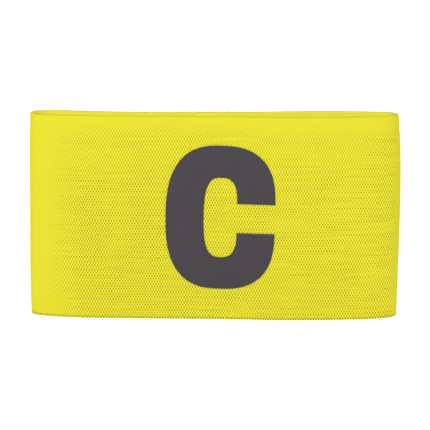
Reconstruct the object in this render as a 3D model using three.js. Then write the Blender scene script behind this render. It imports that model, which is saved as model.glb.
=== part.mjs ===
// A captain's armband: one strip of wide woven elastic, closed to a loop that stands on its lower rim,
// with a plain capital printed on the front wall. Millimetres, +Z up, the front wall faces -Y, and the
// origin lies on the ground under the middle of the whole.
import * as THREE from 'three';

// Driving sizes of the elastic loop
const BAND_HEIGHT = 70; // width of the elastic strip, upright here
const FLAT_WIDTH = 127.4; // from fold to fold, over the outside
const FRONT_BOW = 15; // how far the front wall bows out before the line of the left fold
const BACK_BOW = 5; // how far the back wall bows out behind that line
const WALL = 1.5; // thickness of the elastic
const LAP = 12; // overlap of the strip's two ends, at the middle of the back
const LAP_RUNOUT = 14; // length in which the outer end bends back into line beside the lap
const CUT_EDGE = 0.4; // slope of a cut end, measured along the strip

// Driving sizes of the printed capital
const LETTER_HEIGHT = 49.5;
const LETTER_WIDTH = 37.4;
const STEM = 13; // width of the upright stroke
const ARM = 11; // height of the upper and lower strokes
const MOUTH = 10.1; // height of the opening between the two arms
const MOUTH_DROP = 0.15; // the opening's middle lies this far below the letter's
const OUTSIDE_POWER = 2.6; // squareness of the outer outline: 2 is an ellipse, more is squarer
const COUNTER_POWER = 2.8; // squareness of the inner outline
const FILM = 0.4; // thickness of the print
const FILM_GAP = 0.3; // clearance between the print and the elastic
const LETTER_ALONG = 2.15; // from the middle of the strip's length, to the right
const LETTER_UP = 0.5; // from the middle of the strip's width
const LETTER_TURN = 1; // clockwise, in degrees

// Fineness of the faceted surfaces
const STATION_STEP = 2.3; // along the strip
const HEIGHT_STEPS = 7;
const QUARTER_STEPS = 11; // round each quarter of the letter
const STROKE_STEPS = 5; // across the letter's stroke

// The loop seen from above, from the middle of the back round by the left fold, the front and the right
// fold. across: share of half FLAT_WIDTH, to the right. ahead: share of FRONT_BOW, behind: share of BACK_BOW.
const PLAN = [
  { place: 'back, middle', across: 0, ahead: 0.04, behind: 0 },
  { place: 'back, left of the middle', across: -0.33, ahead: 0, behind: 0.02 },
  { place: 'back, left', across: -0.6, ahead: 0, behind: 0.35 },
  { place: 'back, at the left fold', across: -0.86, ahead: 0, behind: 1 },
  { place: 'left fold, rear', across: -0.965, ahead: 0, behind: 0.78 },
  { place: 'left fold', across: -1, ahead: 0.04, behind: 0 },
  { place: 'left fold, fore', across: -0.975, ahead: 0.28, behind: 0 },
  { place: 'front, at the left fold', across: -0.9, ahead: 0.47, behind: 0 },
  { place: 'front, left', across: -0.72, ahead: 0.67, behind: 0 },
  { place: 'front, left of the middle', across: -0.45, ahead: 0.76, behind: 0 },
  { place: 'front, middle', across: 0, ahead: 0.84, behind: 0 },
  { place: 'front, crown', across: 0.36, ahead: 0.98, behind: 0 },
  { place: 'front, right', across: 0.7, ahead: 0.93, behind: 0 },
  { place: 'front, at the right fold', across: 0.9, ahead: 0.78, behind: 0 },
  { place: 'right fold, fore', across: 0.97, ahead: 0.59, behind: 0 },
  { place: 'right fold', across: 1, ahead: 0.27, behind: 0 },
  { place: 'right fold, rear', across: 0.955, ahead: 0.04, behind: 0 },
  { place: 'back, at the right fold', across: 0.8, ahead: 0, behind: 0.3 },
  { place: 'back, right', across: 0.58, ahead: 0, behind: 0.55 },
  { place: 'back, right of the middle', across: 0.3, ahead: 0, behind: 0.25 },
];

// How the loop changes with height: share of BAND_HEIGHT, and the reach of each side as a share of PLAN's.
const HEIGHTS = [
  { up: 0, left: 0.9965, right: 0.985, front: 0.97, back: 0.97 },
  { up: 0.15, left: 1.0005, right: 0.99, front: 0.98, back: 0.99 },
  { up: 0.5, left: 1, right: 1, front: 1, back: 1 },
  { up: 0.85, left: 0.997, right: 0.998, front: 1.02, back: 1 },
  { up: 1, left: 0.9935, right: 0.987, front: 1.04, back: 1 },
];

function smoothstep(share) {
  const t = Math.min(Math.max(share, 0), 1);
  return t * t * (3 - 2 * t);
}

// The outer face in plan, a closed curve that runs counter-clockwise seen from above.
const plan = new THREE.CatmullRomCurve3(
  PLAN.map((row) => new THREE.Vector3(
    (row.across * FLAT_WIDTH) / 2,
    row.behind * BACK_BOW - row.ahead * FRONT_BOW,
    0,
  )),
  true,
  'centripetal',
);
plan.arcLengthDivisions = 2000;
const GIRTH = plan.getLength();

const reach = new THREE.CubicInterpolant(
  HEIGHTS.map((row) => row.up * BAND_HEIGHT),
  HEIGHTS.flatMap((row) => [row.left, row.right, row.front, row.back]),
  4,
);

// A point of the loop: along the strip from the lap's middle, up from the lower rim, and outward from the
// outer face.
function onLoop(along, up, outward) {
  const share = THREE.MathUtils.euclideanModulo(along, GIRTH) / GIRTH;
  const point = plan.getPointAt(share);
  const tangent = plan.getTangentAt(share);
  const x = point.x + tangent.y * outward;
  const y = point.y - tangent.x * outward;
  const [left, right, front, back] = reach.evaluate(up);
  return new THREE.Vector3(x * (x < 0 ? left : right), y * (y < 0 ? front : back), up);
}

// A solid from closed rings of points with equal counts. Each ring is a thin outline, out along one face
// and back along the other. A closed row of rings is a loop; an open one gets its two ends capped.
function skinRings(rings, closed) {
  const count = rings[0].length;
  const corners = rings.flat().flatMap((point) => point.toArray());
  const faces = [];
  const quad = (a, b, c, d) => faces.push(a, b, c, a, c, d);
  const pairs = closed ? rings.length : rings.length - 1;
  for (let i = 0; i < pairs; i += 1) {
    const here = i * count;
    const next = ((i + 1) % rings.length) * count;
    for (let j = 0; j < count; j += 1) {
      const k = (j + 1) % count;
      quad(here + j, next + j, next + k, here + k);
    }
  }
  if (!closed) {
    const last = (rings.length - 1) * count;
    for (let j = 0; j < count / 2 - 1; j += 1) {
      const mate = count - 1 - j;
      quad(j, j + 1, mate - 1, mate);
      quad(last + j + 1, last + j, last + mate, last + mate - 1);
    }
  }
  const geometry = new THREE.BufferGeometry();
  geometry.setAttribute('position', new THREE.Float32BufferAttribute(corners, 3));
  geometry.setIndex(faces);
  geometry.computeVertexNormals();
  return geometry;
}

// Places along the strip, closer together at the lap's two cut ends.
function stripStations() {
  const lapEnd = LAP / 2 + CUT_EDGE;
  const lapSteps = Math.ceil(LAP / STATION_STEP);
  const restSteps = Math.ceil((GIRTH - 2 * lapEnd) / STATION_STEP);
  const stations = [];
  for (let i = 0; i <= lapSteps; i += 1) {
    stations.push(LAP * (i / lapSteps - 0.5));
  }
  for (let i = 0; i <= restSteps; i += 1) {
    stations.push(lapEnd + ((GIRTH - 2 * lapEnd) * i) / restSteps);
  }
  return stations;
}

// How far the outer and the inner face shift outward at the lap. One end of the strip lies inside and ends
// past the lap; the other lies on it, ends before it, and bends back into line.
function lapShift(along) {
  const bend = WALL * (1 - smoothstep((along - LAP / 2 - CUT_EDGE) / LAP_RUNOUT));
  const lapped = Math.abs(along) <= LAP / 2;
  const beside = along > LAP / 2 && along < GIRTH / 2;
  return { outer: lapped ? WALL : beside ? bend : 0, inner: beside ? bend : 0 };
}

function makeBand() {
  const ups = Array.from({ length: HEIGHT_STEPS + 1 }, (_, i) => (BAND_HEIGHT * i) / HEIGHT_STEPS);
  const rings = stripStations().map((along) => {
    const shift = lapShift(along);
    const outer = ups.map((up) => onLoop(along, up, shift.outer));
    const inner = ups.map((up) => onLoop(along, up, shift.inner - WALL)).reverse();
    return [...outer, ...inner];
  });
  return skinRings(rings, true);
}

// A bowl-shaped outline of the letter: step 0 is the mouth's upper corner, and the steps go over the top,
// down the left side and along the bottom to the mouth's lower corner. Each quarter is a superellipse, and
// the two quarters on the right start at the mouth's edges, so that the arms end upright.
function bowlPoint(halfWidth, halfHeight, power, step) {
  const turn = (Math.PI / 2) * (step / QUARTER_STEPS);
  const upper = step <= 2 * QUARTER_STEPS ? 1 : -1;
  const onRight = step < QUARTER_STEPS || step > 3 * QUARTER_STEPS;
  const start = onRight ? upper * (MOUTH / 2) - MOUTH_DROP : 0;
  const across = Math.abs(Math.cos(turn)) ** (2 / power) * (onRight ? halfWidth : -halfWidth);
  const rise = Math.abs(Math.sin(turn)) ** (2 / power);
  return new THREE.Vector2(across, start + (upper * halfHeight - start) * rise);
}

function makeLetter() {
  const clockwise = -THREE.MathUtils.degToRad(LETTER_TURN);
  const middle = new THREE.Vector2();
  const rings = [];
  for (let step = 0; step <= 4 * QUARTER_STEPS; step += 1) {
    const outside = bowlPoint(LETTER_WIDTH / 2, LETTER_HEIGHT / 2, OUTSIDE_POWER, step);
    const counter = bowlPoint(LETTER_WIDTH / 2 - STEM, LETTER_HEIGHT / 2 - ARM, COUNTER_POWER, step);
    const stroke = Array.from({ length: STROKE_STEPS + 1 }, (_, j) => (
      outside.clone().lerp(counter, j / STROKE_STEPS).rotateAround(middle, clockwise)
    ));
    const layer = (outward) => stroke.map((place) => onLoop(
      GIRTH / 2 + LETTER_ALONG + place.x,
      BAND_HEIGHT / 2 + LETTER_UP + place.y,
      outward,
    ));
    rings.push([...layer(FILM_GAP + FILM), ...layer(FILM_GAP).reverse()]);
  }
  return skinRings(rings, false);
}

function addPiece(parent, name, geometry, look) {
  const piece = new THREE.Mesh(geometry, new THREE.MeshStandardMaterial(look));
  piece.name = name;
  parent.add(piece);
}

const armband = new THREE.Group();
const placed = new THREE.Group();
armband.add(placed);
addPiece(placed, 'band', makeBand(), { color: 0xe3da38, roughness: 0.85, metalness: 0 });
addPiece(placed, 'letter_c', makeLetter(), { color: 0x4f4a4f, roughness: 0.55, metalness: 0 });

// The middle of the whole box comes over the origin; the lower rim is already on the ground.
const middle = new THREE.Box3().setFromObject(placed).getCenter(new THREE.Vector3());
placed.position.set(-middle.x, -middle.y, 0);
armband.updateMatrixWorld(true);

export default armband;
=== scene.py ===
# %% [markdown]
# # A captain's armband in woven elastic
# The armband is one strip of wide elastic, closed to a loop by a sewn lap at the back, with a plain capital
# printed on the front. This lesson dresses the measured solids of that loop: the cloth gets its weave, its
# selvedges and its seam, and the print gets its film. Every size is in millimetres until a mesh is made,
# when `MM` turns it into Blender's metres.

import bpy
import numpy as np
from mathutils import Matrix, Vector


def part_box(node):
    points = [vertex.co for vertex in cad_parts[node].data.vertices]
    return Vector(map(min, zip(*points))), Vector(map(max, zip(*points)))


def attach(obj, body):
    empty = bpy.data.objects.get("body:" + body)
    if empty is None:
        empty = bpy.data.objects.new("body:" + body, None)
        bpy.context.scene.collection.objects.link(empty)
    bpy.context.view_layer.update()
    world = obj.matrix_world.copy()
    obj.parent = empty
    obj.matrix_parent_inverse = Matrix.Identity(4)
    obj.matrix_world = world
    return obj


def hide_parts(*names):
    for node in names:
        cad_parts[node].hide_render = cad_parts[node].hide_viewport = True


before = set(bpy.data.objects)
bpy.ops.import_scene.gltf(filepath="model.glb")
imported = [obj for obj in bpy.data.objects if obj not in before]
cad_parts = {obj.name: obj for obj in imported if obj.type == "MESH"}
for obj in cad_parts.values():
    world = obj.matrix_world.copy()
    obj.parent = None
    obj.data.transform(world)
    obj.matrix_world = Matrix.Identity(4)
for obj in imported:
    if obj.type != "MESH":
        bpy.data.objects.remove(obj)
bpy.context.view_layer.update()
MM = 0.001

# %% [markdown]
# ## The camera
# The photograph looks straight at the front wall from a little above, through a long lens: the far rim
# shows as a thin strip over the near one. A camera could be moved by hand until the view fits, but on a
# sphere round a target each number does one thing: the rise gives the direction, and the width of the view
# at the target gives the lens.

# %% Place the camera
BAND_HEIGHT = 70.0
CAMERA_RISE = np.radians(9.5)
CAMERA_DISTANCE = 1000.0
VIEW_WIDTH = 147.7
VIEW_ASIDE, VIEW_ABOVE = 0.10, 0.05  # how far beside and above the band's middle the camera looks
TARGET = Vector((VIEW_ASIDE, 0, BAND_HEIGHT / 2 + VIEW_ABOVE)) * MM

camera_data = bpy.data.cameras.new("camera")
camera = bpy.data.objects.new("camera", camera_data)
bpy.context.scene.collection.objects.link(camera)
camera.location = TARGET + Vector((0, -np.cos(CAMERA_RISE), np.sin(CAMERA_RISE))) * CAMERA_DISTANCE * MM
camera.rotation_euler = (np.pi / 2 - CAMERA_RISE, 0, 0)
camera_data.lens = camera_data.sensor_width * CAMERA_DISTANCE / VIEW_WIDTH
camera_data.clip_start = 0.01
bpy.context.scene.camera = camera
print("lens:", round(camera_data.lens, 1), "mm")

# %% [markdown]
# ## The studio
# The armband was photographed in flat, even light on white: the left fold is only a little brighter than
# the right one. One large softbox stands high in front, where it also reaches the inside of the back wall.
# Weaker ones at both sides and behind light the folds and the seam, and a dim, even world fills the rest.
# The floor is a light table, as in a product studio: it glows a little itself, so it turns white and keeps
# only a faint shadow. A single environment would light the armband too, but separate lamps let each face be
# set by itself. The Standard view transform shows the colours as they are, without a film curve.

# %% Light the studio
WORLD_STRENGTH = 0.30
FLOOR_REACH = 6.0
FLOOR_GLOW = 0.30
SOFTBOX_SIZE = 1.1
SOFTBOXES = {
    # name: (place in metres, power in watts)
    "front softbox": ((-0.15, -1.35, 1.4), 27.0),
    "left softbox": ((-1.8, -0.5, 0.8), 9.3),
    "right softbox": ((1.8, -0.5, 0.8), 6.8),
    "back softbox": ((0.5, 1.5, 1.0), 23.0),
}

world = bpy.data.worlds.new("studio")
world.use_nodes = True
world.node_tree.nodes["Background"].inputs["Color"].default_value = (1, 1, 1, 1)
world.node_tree.nodes["Background"].inputs["Strength"].default_value = WORLD_STRENGTH
bpy.context.scene.world = world
bpy.context.scene.view_settings.view_transform = "Standard"

for name, (place, power) in SOFTBOXES.items():
    lamp = bpy.data.lights.new(name, "AREA")
    lamp.energy, lamp.size = power, SOFTBOX_SIZE
    softbox = bpy.data.objects.new(name, lamp)
    softbox.location = place
    softbox.rotation_euler = (TARGET - softbox.location).to_track_quat("-Z", "Y").to_euler()
    bpy.context.scene.collection.objects.link(softbox)

floor_mesh = bpy.data.meshes.new("floor")
corners = [(-FLOOR_REACH, -FLOOR_REACH, 0), (FLOOR_REACH, -FLOOR_REACH, 0),
           (FLOOR_REACH, FLOOR_REACH, 0), (-FLOOR_REACH, FLOOR_REACH, 0)]
floor_mesh.from_pydata(corners, [], [(0, 1, 2, 3)])
floor = bpy.data.objects.new("floor", floor_mesh)
bpy.context.scene.collection.objects.link(floor)
print("softboxes:", len(SOFTBOXES), "with", sum(power for _, power in SOFTBOXES.values()), "W")

# %% [markdown]
# ## The loop seen from above
# The elastic stands as a flat tube with two soft folds. Its front wall bows forward, most of all right of
# the middle, and its back wall stays nearly flat. A cloth simulation could find such a shape, but here it
# is known from the photograph, and a short table of places round the loop describes it and never drifts.

# %% The plan of the loop
FLAT_WIDTH = 127.4
FRONT_BOW = 15.0
BACK_BOW = 5.0
PLAN = np.array([
    # across: share of half the flat width; ahead: share of the front bow; behind: share of the back bow
    (0.0, 0.04, 0.0), (-0.33, 0.0, 0.02), (-0.6, 0.0, 0.35), (-0.86, 0.0, 1.0), (-0.965, 0.0, 0.78),
    (-1.0, 0.04, 0.0), (-0.975, 0.28, 0.0), (-0.9, 0.47, 0.0), (-0.72, 0.67, 0.0), (-0.45, 0.76, 0.0),
    (0.0, 0.84, 0.0), (0.36, 0.98, 0.0), (0.7, 0.93, 0.0), (0.9, 0.78, 0.0), (0.97, 0.59, 0.0),
    (1.0, 0.27, 0.0), (0.955, 0.04, 0.0), (0.8, 0.0, 0.3), (0.58, 0.0, 0.55), (0.3, 0.0, 0.25),
], dtype=[("across", float), ("ahead", float), ("behind", float)])
plan_points = np.column_stack([
    PLAN["across"] * FLAT_WIDTH / 2,
    PLAN["behind"] * BACK_BOW - PLAN["ahead"] * FRONT_BOW,
])
print(len(plan_points), "places, from front to back:", np.ptp(plan_points[:, 1]).round(1), "mm")

# %% [markdown]
# A closed curve through these places gives the outer face. Blender has curve objects for this, but their
# points would have to be read back before cloth could follow them, so the curve is worked out here. A
# Catmull-Rom curve passes through every place and turns smoothly between them, which suits cloth that is
# folded but not creased.

# %% The closed curve
def closed_curve(points, steps):
    """A closed Catmull-Rom curve through points, with that many steps in each span. Knots are spaced by the
    square root of each chord, and each span is the Hermite cubic of its two ends and their tangents."""
    before, start, end, after = (np.roll(points, k, axis=0) for k in (1, 0, -1, -2))
    chords = (start - before, end - start, after - end)
    d0, d1, d2 = (np.sqrt(np.linalg.norm(chord, axis=1))[:, None] for chord in chords)
    leave = ((start - before) / d0 - (end - before) / (d0 + d1) + (end - start) / d1) * d1
    arrive = ((end - start) / d1 - (after - start) / (d1 + d2) + (after - end) / d2) * d1
    t = (np.arange(steps) / steps)[None, :, None]
    start, end, leave, arrive = (a[:, None, :] for a in (start, end, leave, arrive))
    curve = (start * (2 * t**3 - 3 * t**2 + 1) + end * (3 * t**2 - 2 * t**3)
             + leave * (t**3 - 2 * t**2 + t) + arrive * (t**3 - t**2))
    return curve.reshape(-1, 2)


def even_steps(curve, count):
    """The same closed curve at count places that are equally far apart along it, and its whole length."""
    closed = np.vstack([curve, curve[:1]])
    along = np.concatenate([[0], np.cumsum(np.linalg.norm(np.diff(closed, axis=0), axis=1))])
    places = along[-1] * np.arange(count) / count
    return np.column_stack([np.interp(places, along, closed[:, k]) for k in (0, 1)]), along[-1]


SPAN_STEPS = 200  # from each place in the table to the next
LOOP_SAMPLES = 4096
loop, GIRTH = even_steps(closed_curve(plan_points, SPAN_STEPS), LOOP_SAMPLES)
heading = np.roll(loop, -1, axis=0) - np.roll(loop, 1, axis=0)
heading /= np.linalg.norm(heading, axis=1)[:, None]
print("girth:", round(GIRTH, 1), "mm")

# %% [markdown]
# ## The loop in height
# Cloth is never a perfect prism. The front wall leans forward a little towards the top, and both folds pull
# in near the rims. An extrusion of the plan would look like stiff card. Instead, five rows say how far each
# side reaches at five heights, and the curve of fourth degree through them gives every height between.

# %% A point anywhere on the wall
HEIGHTS = np.array([
    # up: share of the band's height; the other columns: reach of each side, as a share of the plan's
    (0.0, 0.9965, 0.985, 0.97, 0.97), (0.15, 1.0005, 0.99, 0.98, 0.99), (0.5, 1.0, 1.0, 1.0, 1.0),
    (0.85, 0.997, 0.998, 1.02, 1.0), (1.0, 0.9935, 0.987, 1.04, 1.0),
], dtype=[("up", float), ("left", float), ("right", float), ("front", float), ("back", float)])
reach = {side: np.polyfit(HEIGHTS["up"], HEIGHTS[side], 4) for side in ("left", "right", "front", "back")}
loop_marks = np.arange(LOOP_SAMPLES + 1) * GIRTH / LOOP_SAMPLES
loop_table = np.vstack([np.column_stack([loop, heading]), [*loop[0], *heading[0]]])


def on_loop(along, up, outward):
    """Points of the wall: along the strip from the middle of the back, up from the lower rim, and outward
    from the outer face along its normal. The plan gives x and y, and each side's reach stretches them."""
    place = np.mod(along, GIRTH)
    x, y, heading_x, heading_y = (np.interp(place, loop_marks, column) for column in loop_table.T)
    x, y = x + heading_y * outward, y - heading_x * outward
    share = up / BAND_HEIGHT
    x = x * np.where(x < 0, np.polyval(reach["left"], share), np.polyval(reach["right"], share))
    y = y * np.where(y < 0, np.polyval(reach["front"], share), np.polyval(reach["back"], share))
    return np.stack(np.broadcast_arrays(x, y, up), axis=-1)


def from_lap(along):
    """The same place as a signed length from the lap's middle, between minus and plus half the girth."""
    return np.mod(along + GIRTH / 2, GIRTH) - GIRTH / 2


print("the front's middle lies at", on_loop(GIRTH / 2, BAND_HEIGHT / 2, 0).round(1), "mm")

# %% [markdown]
# Nor is cloth ever perfectly even. A noise texture could disturb it, but noise doesn't close round a loop.
# A few long, weak waves laid over each other look just as accidental and are the same on every run, because
# the random numbers start from a fixed seed. Each wave goes a whole number of times round the loop, so it
# meets itself without a step.

# %% Soft unevenness
SEED = 7
WAVES_ALONG = (0.7, 2.2)  # least and most waves in the longest length, along the strip
WAVES_UP = (-1.6, 1.6)  # the same across the strip; the sign says which way a wave slants
luck = np.random.default_rng(SEED)


def soft_waves(count, longest, height):
    """A function of along and up: the sum of count plane waves with random directions and phases, none much
    longer than longest, scaled so that the sum swings by about height."""
    rounds = np.maximum(1, np.round(GIRTH / longest * luck.uniform(*WAVES_ALONG, count)))
    climb = luck.uniform(*WAVES_UP, count) / longest
    phase = luck.uniform(0, 2 * np.pi, count)

    def waves(along, up):
        turns = rounds * np.asarray(along)[..., None] / GIRTH + climb * np.asarray(up)[..., None]
        return height * np.cos(2 * np.pi * turns + phase).sum(axis=-1) / np.sqrt(count)

    return waves


lattice_slide = soft_waves(count=5, longest=110, height=0.55)
flat_bow = soft_waves(count=6, longest=75, height=0.14)
pit_luck = soft_waves(count=12, longest=26, height=0.16)


def wall_bow(along, up):
    """How far the wall bows outward: the soft waves times the square of the heading's x, so that it bows
    where the loop is flat and stays put at both folds, which are tight."""
    heading_x = np.interp(np.mod(along, GIRTH), loop_marks, loop_table[:, 2])
    return flat_bow(along, up) * heading_x**2


print("bow at the front's middle:", wall_bow(GIRTH / 2, BAND_HEIGHT / 2).round(3), "mm")

# %% [markdown]
# ## Meshes from grids
# Every new piece here is a grid of points: rings that run round or along it, each ring with the same number
# of points. Modifiers could build such pieces from simpler ones, but a grid says outright where each point
# of the cloth lies. One helper joins neighbours into quads. Another stores the mesh with a UV map that
# counts weave cells, so that a pattern can follow the cloth round the loop.

# %% Helpers that turn grids into Blender meshes
def grid_quads(rings, count, close_rings):
    """Quads between neighbouring rings of a grid whose rings are closed. close_rings joins the last ring to
    the first. The corners of quad (i, j) are (i, j), (i+1, j), (i+1, j+1) and (i, j+1)."""
    i, j = np.meshgrid(np.arange(rings if close_rings else rings - 1), np.arange(count), indexing="ij")
    ahead, beside = (i + 1) % rings, (j + 1) % count
    corners = (i * count + j, ahead * count + j, ahead * count + beside, i * count + beside)
    return np.stack(corners, axis=-1).reshape(-1, 4)


def quad_uvs(u, v):
    """The UVs of those quads' corners. u has a value for each ring and one for the ring that closes the
    grid, and v the same for the points of a ring, so the last quads run on instead of jumping back."""
    i, j = np.meshgrid(np.arange(len(u) - 1), np.arange(len(v) - 1), indexing="ij")
    corners = ((u[i], v[j]), (u[i + 1], v[j]), (u[i + 1], v[j + 1]), (u[i], v[j + 1]))
    return np.stack([np.stack(corner, axis=-1) for corner in corners], axis=-2).reshape(-1, 2)


def mesh_piece(name, points, quads, uvs=None):
    """A smooth-shaded mesh object from points in millimetres, quads, and the UVs of the quads' corners."""
    mesh = bpy.data.meshes.new(name)
    mesh.from_pydata((points.reshape(-1, 3) * MM).tolist(), [], quads.tolist())
    if uvs is not None:
        mesh.uv_layers.new(name="weave").data.foreach_set("uv", uvs.astype(np.float32).ravel())
    mesh.polygons.foreach_set("use_smooth", np.ones(len(mesh.polygons), bool))
    mesh.update()
    piece = bpy.data.objects.new(name, mesh)
    bpy.context.scene.collection.objects.link(piece)
    print(f"{name}: {len(mesh.vertices)} vertices, {2 * len(mesh.polygons)} triangles")
    return piece


# %% [markdown]
# ## The woven elastic
# The face of this elastic is a net of bright yarn round small pits, set like bricks: each row is shifted by
# half a cell. A bump texture could fake the pits, but the mesh would stay flat. The lattice fits a grid
# whose columns are half a cell apart and whose rows are one row apart, because every other corner is then a
# pit. One closed grid goes up the outer face, over the rim, down the inner face and under the lower rim, so
# the cloth has its real thickness. Each rim is a squarish half round: the square roots of sine and cosine
# push a circle out towards its box.

# %% The lattice
CELL_ALONG = 0.929
CELL_UP = 0.904
WALL = 1.5
RIM_ROUND = 0.32  # height of the rounded selvedge at each rim
RIM_STEPS = 4
RIM_ROWS = 0.5  # how far the rim counts past the last row of the weave
columns = 2 * round(GIRTH / CELL_ALONG)
rows = 2 * round((BAND_HEIGHT - 2 * RIM_ROUND) / CELL_UP / 2) + 1
column_number = np.arange(columns)[:, None]
row_number = np.arange(rows)
row_up = np.linspace(RIM_ROUND, BAND_HEIGHT - RIM_ROUND, rows)
rim_turn = np.pi * np.arange(1, RIM_STEPS + 1) / (RIM_STEPS + 1)
rim_rise = RIM_ROUND * np.sqrt(np.sin(rim_turn))
rim_cross = (1 - np.sign(np.cos(rim_turn)) * np.sqrt(np.abs(np.cos(rim_turn)))) / 2

# The ring round the wall: outer face upwards, top rim, inner face downwards, lower rim. crossed is the share
# of the wall that lies outside the point: 0 on the outer face, 1 on the inner.
ring_up = np.concatenate([row_up, BAND_HEIGHT - RIM_ROUND + rim_rise, row_up[::-1], RIM_ROUND - rim_rise])
crossed = np.concatenate([np.zeros(rows), rim_cross, np.ones(rows), 1 - rim_cross])
ring_row = np.concatenate([
    row_number, rows - 1 + RIM_ROWS * np.sin(rim_turn), row_number[::-1], -RIM_ROWS * np.sin(rim_turn),
])
on_face = (crossed == 0) | (crossed == 1)
print(columns, "half cells round,", rows, "rows up; a cell is", round(2 * GIRTH / columns, 3), "x",
      round(row_up[1] - row_up[0], 3), "mm")

# %% [markdown]
# The strip's two ends lap at the middle of the back. The inner end runs straight on; the outer end lies on
# it, is cut off square, and bends back into line on its other side. Two sheets laid on each other would
# have to be joined all round; one closed skin with a step is simpler and has no hidden faces. Two numbers
# for each column make the step: how far the outer and the inner face are shifted outward there. Two upright
# rows of stitches hold the lap, and each pulls a shallow groove into the cloth.

# %% The lap
LAP = 12.0
LAP_RUNOUT = 14.0
STITCH_ROWS = (-3.7, 3.7)  # places of the two rows, from the lap's middle
STITCH_SWING = 2.6  # width of a zigzag row
STITCH_SINK = 0.2


def lap_shift(along):
    """Outward shift of the outer and the inner face. On the lap the outer face steps out by one wall; beside
    it both faces come back into line along a smoothstep; elsewhere both stay at zero."""
    place = from_lap(along)
    t = np.clip((place - LAP / 2) / LAP_RUNOUT, 0, 1)
    beside = np.where(place > LAP / 2, WALL * (1 - t * t * (3 - 2 * t)), 0)
    return np.where(np.abs(place) <= LAP / 2, WALL, beside), beside


def stitch_groove(along):
    """How far the thread pulls the cloth in: a flat-bottomed bell across each row of stitches."""
    return sum(STITCH_SINK * np.exp(-((from_lap(along) - row) / STITCH_SWING) ** 4) for row in STITCH_ROWS)


print("the lap's outer and inner faces step out by", *lap_shift(0), "mm")

# %% [markdown]
# The pits aren't equally open everywhere. Below the top rim the weave is dense and nearly plain, and so is
# the left fold, where the cloth has been pressed. The whole upper part is a little calmer, and so is the
# cloth right of the middle; elsewhere the openness drifts. One function says how open the weave is at any
# place. It sets how deep the pits go and, stored on the mesh, how dark they look.

# %% How open the weave is
TOP_PLAIN = 3.8  # height of the dense stretch below the top rim
TOP_START, TOP_END = -0.1, 2.0  # where the fade below it starts and ends, in such heights
DENSE_START, DENSE_END = 0.2, 0.45  # how much later they come in the denser part
CALM_FROM, CALM_TO = 47.0, 57.0  # heights between which the weave grows calmer
CALMER = 0.3  # how much less open it is above them
LEFT_PLAIN, LEFT_OPEN = 1.02, 0.65  # shares of half the width where the left side is plain and fully open
RIGHT_PLAIN, RIGHT_OPEN = 1.0, 0.95
DENSE_IN, DENSE_OUT = (-0.2, 0.5), (1.0, 0.8)  # shares between which the denser part fades in and out
DENSER = 0.16  # how much less open it is
OPEN_MEAN, OPEN_DRIFT = 0.88, 0.6  # the random part: its middle, and how much of the drift it takes
LEFT_DRIFT = 0.1  # how far the drift shifts the left side's fade


def smooth(value, start, end):
    """0 up to start, 1 from end on, and 3 t^2 - 2 t^3 between them; start may be the larger of the two."""
    t = np.clip((value - start) / (end - start), 0, 1)
    return t * t * (3 - 2 * t)


def weave_openness(along, up, crossed):
    """1 where the pits are fully open and 0 where the cloth is plain: the product of a fade towards the top
    rim, whose height drifts, is doubled inside and grows in the denser part, a fade towards each fold, the
    shares of the calmer upper part and of the denser part, and a soft random part."""
    drift = pit_luck(along, up)
    across = on_loop(along, BAND_HEIGHT / 2, 0)[..., 0] / (FLAT_WIDTH / 2)
    plain = TOP_PLAIN * (1 + crossed)
    dense = smooth(across, *DENSE_IN) * smooth(across, *DENSE_OUT)
    fade_start = plain * (TOP_START + DENSE_START * dense + drift)
    fade_end = plain * (TOP_END + DENSE_END * dense + drift)
    top = smooth(BAND_HEIGHT - up, fade_start, fade_end)
    left = smooth(-across + LEFT_DRIFT * drift, LEFT_PLAIN, LEFT_OPEN)
    right = smooth(across, RIGHT_PLAIN, RIGHT_OPEN)
    shares = (1 - CALMER * smooth(up, CALM_FROM, CALM_TO)) * (1 - DENSER * dense)
    return np.clip(top * left * right * shares * (OPEN_MEAN + OPEN_DRIFT * drift), 0, 1)


print("openness at the front's middle:", weave_openness(GIRTH / 2, BAND_HEIGHT / 2, 0).round(2))

# %% [markdown]
# Now the grid takes its shape. Each point starts on its column and row; the lattice slides a little along
# the strip, as woven cloth does; pits go in and the net between them comes out. Each selvedge gets one
# small loop of yarn for each cell: the upper loops stand up, and the lower rim is notched between its
# loops, on which the band stands.

# %% Build the band
PIT = 0.11  # depth of a fully open pit
PLAIN_PIT = 0.25  # share of that depth that stays where the cloth is plain
NET_RISE = 0.35  # how far the net between pits comes out, as a share of their depth
TOP_LOOP = 0.24  # how far the loops of the top selvedge stand up; between them it is half of this
FOOT_NOTCH = 0.1  # depth of the notches between the loops of the lower one
CALM_ZONE = 22.0  # the lattice lies straight within this distance of the lap
# The inner face's colour is painted paler, as painted light against the shade inside the loop; this share
# also gives it to most of each rim.
INSIDE_FROM = 0.3  # share of the wall's thickness across which the colour turns to the inner face's

base_along = column_number * GIRTH / columns
calm = 1 - np.exp(-(from_lap(base_along) / CALM_ZONE) ** 4)
along = base_along + calm * lattice_slide(base_along, ring_up[None, :])
is_pit = (column_number + np.round(ring_row)) % 2 == 0
openness = weave_openness(along, ring_up[None, :], crossed)
pit_depth = PIT * (PLAIN_PIT + (1 - PLAIN_PIT) * openness)
relief = np.where(is_pit, -pit_depth, NET_RISE * pit_depth) * on_face
outer_shift, inner_shift = lap_shift(base_along)
outward = (outer_shift * (1 - crossed) + (inner_shift - WALL) * crossed + wall_bow(along, ring_up[None, :])
           + (1 - 2 * crossed) * (relief - stitch_groove(base_along)))
is_loop = (column_number % 2 == 1) & ~on_face
at_top = ring_up > BAND_HEIGHT / 2
stand = np.where(is_loop, TOP_LOOP, TOP_LOOP / 2) * ~on_face
up = ring_up + np.where(at_top, stand, FOOT_NOTCH * (~is_loop & ~on_face))
band_points = on_loop(along, up, outward)

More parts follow.
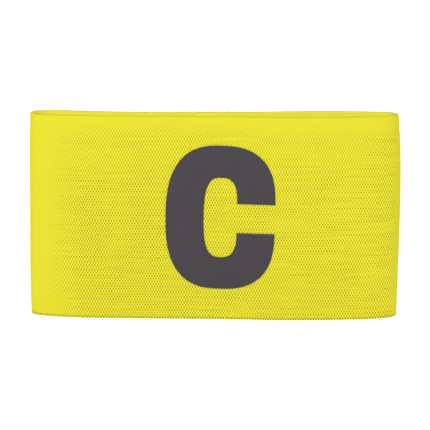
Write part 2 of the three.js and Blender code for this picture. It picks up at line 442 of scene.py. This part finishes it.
low, high = (np.array(corner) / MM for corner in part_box("band"))
settle = (low + high - band_points.min(axis=(0, 1)) - band_points.max(axis=(0, 1))) / 2
settle[2] = -up.min()
band = mesh_piece(
    "elastic_band", band_points + settle, grid_quads(columns, len(ring_up), close_rings=True),
    quad_uvs(np.arange(columns + 1) / 2, np.append(ring_row, ring_row[0])),
)
# Where the inner face's painted-light paler colour lies: on the inner face and over most of each rim.
inside = np.broadcast_to(smooth(crossed, 0, INSIDE_FROM), openness.shape)
for name, values in (("openness", openness), ("inside", inside)):
    band.data.attributes.new(name, "FLOAT", "POINT").data.foreach_set("value", values.ravel())
print("mean openness:", openness.mean().round(2))

# %% [markdown]
# ## The seam's stitches
# The lap is sewn with zigzag, the stitch that can stretch with the elastic. Each stitch is a short piece of
# thread that comes out of the cloth, lies slanted across the row and dives in again. First come the
# thread's middle lines, outside and inside, as one array: from stitch to stitch, and along the thread.

# %% The stitches' middle lines
THREAD = 0.42
STITCH_RISE = 1.45
STITCH_MARGIN = 1.5  # bare cloth below the first and above the last stitch
STITCH_ARCH, STITCH_DIVE = 0.62, 0.3  # a stitch's rise over its ends, and the ends' depth, in thread widths
THREAD_STEPS = 6


def stitch_paths(row, outer):
    """Middle lines of one zigzag row. The thread swings from side to side as it climbs, and each stitch
    arches over the cloth like half a sine wave, with its ends below the surface."""
    number = np.arange(int((BAND_HEIGHT - 2 * STITCH_MARGIN) / STITCH_RISE))[:, None]
    t = np.linspace(0, 1, THREAD_STEPS + 1)
    climb = STITCH_MARGIN + (number + t) * STITCH_RISE
    swing = STITCH_SWING / 2 * (2 * t - 1) * np.where(number % 2 == 0, 1, -1)
    lift = THREAD * (STITCH_ARCH * np.sin(np.pi * t) - STITCH_DIVE) - STITCH_SINK
    outer_face, inner_face = lap_shift(row)
    off_wall = outer_face + lift if outer else inner_face - WALL - lift
    return on_loop(row + swing, climb, off_wall + wall_bow(row + swing, climb))


paths = np.concatenate([stitch_paths(row, outer) for row in STITCH_ROWS for outer in (True, False)])
print(len(paths), "stitches")

# %% [markdown]
# Curve objects with a round bevel could give the thread its thickness, one for each stitch. Rings of points
# round the middle lines do it for all stitches at once, and each stitch keeps only a few dozen faces.

# %% Build the stitches
THREAD_SIDES = 6


def tubes(paths, radius, sides):
    """A ring of points round each point of each path. The ring lies across the path: one of its directions
    is square to the path and to the wall's normal, and the other is square to both."""
    run = np.gradient(paths, axis=1)
    run /= np.linalg.norm(run, axis=2, keepdims=True)
    level = np.cross(run, [0.0, 1.0, 0.0])
    level /= np.linalg.norm(level, axis=2, keepdims=True)
    rise = np.cross(run, level)
    turn = (2 * np.pi * np.arange(sides) / sides)[:, None]
    return paths[:, :, None] + radius * (np.cos(turn) * level[:, :, None] + np.sin(turn) * rise[:, :, None])


last = THREAD_STEPS * THREAD_SIDES
end_caps = [
    (3, 2, 1, 0), (5, 4, 3, 0),
    (last, last + 1, last + 2, last + 3), (last, last + 3, last + 4, last + 5),
]
one_stitch = np.vstack([grid_quads(THREAD_STEPS + 1, THREAD_SIDES, close_rings=False)[:, ::-1], end_caps])
first_points = np.arange(len(paths)) * (last + THREAD_SIDES)
seam = mesh_piece(
    "seam_stitches", tubes(paths, THREAD / 2, THREAD_SIDES) + settle,
    (one_stitch + first_points[:, None, None]).reshape(-1, 4),
)

# %% [markdown]
# ## The printed capital
# The letter is a thin film pressed onto the cloth. A text object could make it, but its flat shape would
# have to be bent afterwards. Here its outline is made of quarters of a superellipse, the squarish oval that
# block letters are drawn with, once for the outside and once for the counter. A stroke between the two
# outlines, laid onto the wall point by point, follows the bow of the cloth exactly.

# %% The letter's two outlines
LETTER_HEIGHT = 49.5
LETTER_WIDTH = 37.4
STEM = 13.0
ARM = 11.0
MOUTH = 10.1
MOUTH_DROP = 0.15
OUTSIDE_POWER = 2.6
COUNTER_POWER = 2.8
QUARTER_STEPS = 90


def bowl(half_width, half_height, power):
    """The outline from the mouth's upper corner over the top, down the left and along the bottom to its lower
    corner. Each quarter is |x / a| ** n + |y / b| ** n = 1, and those on the right start at the mouth."""
    step = np.arange(4 * QUARTER_STEPS + 1)
    turn = np.pi / 2 * step / QUARTER_STEPS
    upper = np.where(step <= 2 * QUARTER_STEPS, 1, -1)
    on_right = (step < QUARTER_STEPS) | (step > 3 * QUARTER_STEPS)
    start = np.where(on_right, upper * MOUTH / 2 - MOUTH_DROP, 0)
    x = np.abs(np.cos(turn)) ** (2 / power) * np.where(on_right, half_width, -half_width)
    y = start + (upper * half_height - start) * np.abs(np.sin(turn)) ** (2 / power)
    return np.column_stack([x, y])


outside = bowl(LETTER_WIDTH / 2, LETTER_HEIGHT / 2, OUTSIDE_POWER)
counter = bowl(LETTER_WIDTH / 2 - STEM, LETTER_HEIGHT / 2 - ARM, COUNTER_POWER)
print("letter:", np.ptp(outside[:, 0]).round(1), "x", np.ptp(outside[:, 1]).round(1), "mm")

# %% [markdown]
# Across the stroke the film is flat, with a narrow rounded shoulder at each edge, and its underside sits in
# the top of the weave. The ring of points therefore runs over the film and back under it.

# %% Build the letter
LETTER_ALONG = 2.15
LETTER_UP = 0.5
LETTER_TURN = np.radians(1.0)
FILM = 0.28
FLAT_STEPS = 20
FLAT_FROM = 0.03  # share of the stroke's width at which the film is flat
SHOULDER_SHARE = np.array([0, 0.006])  # the shares before that, from the edge inwards
SHOULDER_HEIGHT = np.array([0.6, 0.95])  # shares of the film's thickness there

flat_share = np.linspace(FLAT_FROM, 1 - FLAT_FROM, FLAT_STEPS)
top_share = np.concatenate([SHOULDER_SHARE, flat_share, 1 - SHOULDER_SHARE[::-1]])
top_height = FILM * np.concatenate([SHOULDER_HEIGHT, np.ones(FLAT_STEPS), SHOULDER_HEIGHT[::-1]])
share = np.concatenate([top_share, top_share[::-1]])[:, None]
film_height = np.concatenate([top_height, np.zeros(len(top_share))])

stroke = outside[:, None] * (1 - share) + counter[:, None] * share
turn_cos, turn_sin = np.cos(LETTER_TURN), np.sin(LETTER_TURN)
stroke = stroke @ np.array([[turn_cos, -turn_sin], [turn_sin, turn_cos]])
letter_along = GIRTH / 2 + LETTER_ALONG + stroke[..., 0]
letter_up = BAND_HEIGHT / 2 + LETTER_UP + stroke[..., 1]
letter_points = on_loop(letter_along, letter_up, film_height + wall_bow(letter_along, letter_up))

k = np.arange(len(top_share) - 1)
around = len(share)
first_cap = np.column_stack([k, k + 1, around - 2 - k, around - 1 - k])
last_cap = first_cap[:, ::-1] + (len(outside) - 1) * around
letter = mesh_piece(
    "printed_capital", letter_points + settle,
    np.vstack([grid_quads(len(outside), around, close_rings=False), first_cap, last_cap]),
)

# %% [markdown]
# ## A small kit for materials
# A node material is a formula drawn as a graph. These helpers write it down in lines instead: each adds one
# node, fills its inputs with constants or with other nodes' outputs, and gives back its output.

# %% Helpers for shader nodes
def add_node(tree, kind, feeds, output=0, **settings):
    """A new node of that kind. feeds names its inputs by name or number, each with a constant or with the
    output of another node; settings are the node's own properties."""
    node = tree.nodes.new("ShaderNode" + kind)
    for name, value in settings.items():
        setattr(node, name, value)
    for socket, value in feeds.items():
        if isinstance(value, bpy.types.NodeSocket):
            tree.links.new(value, node.inputs[socket])
        else:
            node.inputs[socket].default_value = value
    return node.outputs[output]


def calculate(tree, operation, *values):
    """One step of arithmetic on numbers."""
    return add_node(tree, "Math", dict(enumerate(values)), operation=operation)


def smooth_step(tree, value, start, end):
    """0 up to start, 1 from end on, and a smooth rise between them."""
    feeds = {"Value": value, "From Min": start, "From Max": end}
    return add_node(tree, "MapRange", feeds, interpolation_type="SMOOTHSTEP")


def mix_colours(tree, share, first, second, mode="MIX"):
    """The first colour at share 0, and the second, or its blend with the first, at share 1."""
    return add_node(tree, "Mix", {0: share, 6: first, 7: second}, output=2, data_type="RGBA", blend_type=mode)


def noise(tree, vector, scale, detail=2.0):
    """Random clouds around 0.5 that are about 1 / scale long, in the units of the vector."""
    return add_node(tree, "TexNoise", {"Vector": vector, "Scale": scale, "Detail": detail})


def new_material(name):
    """A material with its node tree and its Principled shader."""
    material = bpy.data.materials.new(name)
    material.use_nodes = True
    return material, material.node_tree, material.node_tree.nodes["Principled BSDF"].inputs


# %% [markdown]
# ## The weave as a formula
# A picture of cloth could be wrapped round the loop, but it would blur close up. The UV map counts cells
# round the loop and rows up it, so a product of two cosines, one in each direction, is +1 in every pit and -1
# on the yarn between: a formula for the whole weave, sharp at any distance. It places the painted shade in
# the pits and the painted highlight on the yarn. The cosine across the rows is cubed, which leaves narrow
# pits and a wider net. Noise bends the lattice a little and makes the pits' painted shade uneven, as yarn is,
# and noise that is drawn out along the rows gives whole stretches of a row darker pits.

# %% The weave's pattern
WOBBLE = 0.32  # how far noise shifts the pattern, in cells
ROW_STRETCH = (0.05, 0.8, 1.0)  # turns round clouds into streaks along the rows
ROW_LUCK = 0.45  # how much such a streak adds or takes

elastic, tree, shader = new_material("woven elastic")
uv = add_node(tree, "UVMap", {}, uv_map="weave")
wobble = add_node(tree, "TexNoise", {"Vector": uv, "Scale": 0.7, "Detail": 3.0}, output=1)
wobble = add_node(tree, "VectorMath", {0: wobble, 1: (0.5, 0.5, 0.5)}, operation="SUBTRACT")
wobble = add_node(tree, "VectorMath", {0: wobble, "Scale": WOBBLE}, operation="SCALE")
cell = add_node(tree, "VectorMath", {0: uv, 1: wobble}, operation="ADD")
u, v = (add_node(tree, "SeparateXYZ", {0: cell}, output=k) for k in (0, 1))

along_row = calculate(tree, "COSINE", calculate(tree, "MULTIPLY", u, 2 * np.pi))
across_rows = calculate(tree, "COSINE", calculate(tree, "MULTIPLY", v, np.pi))
wave = calculate(tree, "MULTIPLY", along_row, calculate(tree, "POWER", across_rows, 3))
open_weave = add_node(tree, "Attribute", {}, output=2, attribute_name="openness")
grain = noise(tree, uv, 1.1)
streaks = noise(tree, add_node(tree, "VectorMath", {0: uv, 1: ROW_STRETCH}, operation="MULTIPLY"), 1.0)
row_luck = add_node(tree, "MapRange", {"Value": streaks, "From Min": 0.3, "From Max": 0.7,
                                       "To Min": -ROW_LUCK, "To Max": ROW_LUCK})
unevenness = calculate(tree, "ADD", calculate(tree, "ADD", grain, 0.5), row_luck)
strength = calculate(tree, "MULTIPLY", open_weave, unevenness)
# Painted shade in the pits, where light is caught.
pit = calculate(tree, "MULTIPLY", smooth_step(tree, wave, -0.1, 0.7), strength)
# Painted highlight on the tops of the yarn, weaker where the weave is plain.
highlight_strength = calculate(tree, "MULTIPLY", grain, calculate(tree, "MULTIPLY_ADD", open_weave, 0.9, 0.1))
yarn_top_highlight = calculate(tree, "MULTIPLY", smooth_step(tree, wave, -0.05, -0.7), highlight_strength)
print("weave's pattern:", len(tree.nodes), "nodes")

# %% [markdown]
# ## The elastic's colour
# Pits are painted darker and more olive, as painted shade where light is caught in them, and the tops of the
# yarn carry a painted highlight. The inner face and most of the rims are painted paler, as painted light
# against the shade inside the loop. The crest of the top selvedge carries a thin, uneven painted shade, and
# the lower selvedge has a dot of painted shadow between its loops for each cell. Soft patches vary the dye,
# and the wave that sets the colours also sets the bumps.

# %% The woven elastic's material
YARN = (0.62, 0.57, 0.024, 1)
# Painted light: the inner face and most of the rims are painted paler than the outer face, against the shade
# inside the loop.
YARN_INSIDE_PAINTED_LIGHT = (0.81, 0.755, 0.055, 1)
# A painted highlight on the tops of the yarn.
YARN_HIGHLIGHT = (0.94, 0.87, 0.14, 1)
# Painted shade in the pits.
PIT_SHADE = (0.22, 0.195, 0.0, 1)
# Painted shade along the crest of the top selvedge, where the rim's edge and the hollow behind it fall into
# shade.
CREST_PAINTED_SHADE = (0.49, 0.45, 0.010, 1)
# Painted shadow in the gaps between the loops of the lower selvedge.
FOOT_PAINTED_SHADOW = (0.085, 0.080, 0.004, 1)

# Painted light: the inner face and the rims take the paler colour.
inner = add_node(tree, "Attribute", {}, output=2, attribute_name="inside")
colour = mix_colours(tree, inner, YARN, YARN_INSIDE_PAINTED_LIGHT)
# The painted highlight on the yarn's tops.
colour = mix_colours(tree, yarn_top_highlight, colour, YARN_HIGHLIGHT)
# The pits' painted shade.
colour = mix_colours(tree, calculate(tree, "MINIMUM", pit, 1), colour, PIT_SHADE)
# A thin, uneven line of painted shade along the top selvedge's crest.
row = add_node(tree, "SeparateXYZ", {0: uv}, output=1)
crest_luck = add_node(tree, "MapRange", {"Value": noise(tree, uv, 0.2), "From Min": 0.3, "From Max": 0.7,
                                         "To Min": 0.6, "To Max": 1.0})
crest_shade_share = calculate(tree, "MULTIPLY", smooth_step(tree, row, rows - 0.95, rows - 0.7), crest_luck)
colour = mix_colours(tree, crest_shade_share, colour, CREST_PAINTED_SHADE)

# A dot of painted shadow between each two loops of the lower selvedge.
rim_row = calculate(tree, "MULTIPLY", smooth_step(tree, v, 0.65, 0.35), smooth_step(tree, row, -0.4, -0.15))
foot_shadow_dots = calculate(tree, "MULTIPLY", rim_row, smooth_step(tree, along_row, 0.0, 0.8))
colour = mix_colours(tree, foot_shadow_dots, colour, FOOT_PAINTED_SHADOW)
dye = add_node(tree, "MapRange", {"Value": noise(tree, uv, 0.02, 4.0), "To Min": 0.985, "To Max": 1.015})
tree.links.new(mix_colours(tree, 1.0, colour, dye, mode="MULTIPLY"), shader["Base Color"])

fibres = calculate(tree, "MULTIPLY", noise(tree, uv, 3.0), 0.5)
relief_height = calculate(tree, "MULTIPLY_ADD", wave, -0.5, fibres)
bump = add_node(tree, "Bump", {"Height": relief_height, "Strength": 0.5, "Distance": 0.06 * MM})
tree.links.new(bump, shader["Normal"])
shader["Roughness"].default_value = 0.85
shader["Specular IOR Level"].default_value = 0.04
print("woven elastic:", len(tree.nodes), "nodes")

# %% [markdown]
# ## Thread and film
# The thread is the same yellow, a little paler, with its twist as slanted bumps: modelled strands would be
# too fine to see. The film is a smooth, satin, warm grey: very fine unevenness breaks its reflection, and
# its colour varies only slightly, as ink that was pressed on hot does.

# %% The thread's and the film's materials
THREAD_COLOUR = (0.84, 0.79, 0.14, 1)
THREAD_SHADE = (0.68, 0.62, 0.05, 1)
FILM_COLOUR = (0.029, 0.0225, 0.030, 1)
FILM_WORN = (0.037, 0.0295, 0.038, 1)

thread, tree, shader = new_material("seam thread")
place = add_node(tree, "TexCoord", {}, output=3)
twist = add_node(
    tree, "TexWave", {"Vector": place, "Scale": 900.0, "Distortion": 2.0, "Detail": 1.0}, output=1,
    bands_direction="DIAGONAL",
)
tree.links.new(mix_colours(tree, twist, THREAD_SHADE, THREAD_COLOUR), shader["Base Color"])
bump = add_node(tree, "Bump", {"Height": twist, "Strength": 0.5, "Distance": 0.04 * MM})
tree.links.new(bump, shader["Normal"])
shader["Roughness"].default_value = 0.6
shader["Specular IOR Level"].default_value = 0.2

film, tree, shader = new_material("printed film")
place = add_node(tree, "TexCoord", {}, output=3)
cloudy = noise(tree, place, 120.0, 4.0)
tree.links.new(mix_colours(tree, cloudy, FILM_COLOUR, FILM_WORN), shader["Base Color"])
rough = add_node(tree, "MapRange", {"Value": noise(tree, place, 700.0), "To Min": 0.42, "To Max": 0.58})
tree.links.new(rough, shader["Roughness"])
skin = calculate(tree, "ADD", noise(tree, place, 2400.0, 3.0), noise(tree, place, 260.0))
bump = add_node(tree, "Bump", {"Height": skin, "Strength": 0.25, "Distance": 0.03 * MM})
tree.links.new(bump, shader["Normal"])
shader["Specular IOR Level"].default_value = 0.4
print("materials:", thread.name, "and", film.name)

# %% [markdown]
# The floor is plain and pale, with very soft clouds and the light table's own glow. With it, every piece
# can get its material.

# %% The floor's material
FLOOR_COLOUR = (0.84, 0.84, 0.84, 1)
FLOOR_PALER = (0.88, 0.88, 0.88, 1)

pale, tree, shader = new_material("pale floor")
place = add_node(tree, "TexCoord", {}, output=3)
clouds = noise(tree, place, 3.0)
tree.links.new(mix_colours(tree, clouds, FLOOR_COLOUR, FLOOR_PALER), shader["Base Color"])
shader["Roughness"].default_value = 0.9
shader["Emission Color"].default_value = (1, 1, 1, 1)
shader["Emission Strength"].default_value = FLOOR_GLOW
for piece, material in ((band, elastic), (seam, thread), (letter, film), (floor, pale)):
    piece.data.materials.append(material)
    print(piece.name, "wears", material.name)

# %% [markdown]
# ## Hand over
# Each piece is hung on the root body, and the solids of the band and of the letter are hidden. The strip is
# as long as the girth and the lap together.

for piece, slot in ((band, "woven_elastic"), (seam, "woven_elastic"), (letter, "printed_film")):
    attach(piece, "root")
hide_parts("band")
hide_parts("letter_c")
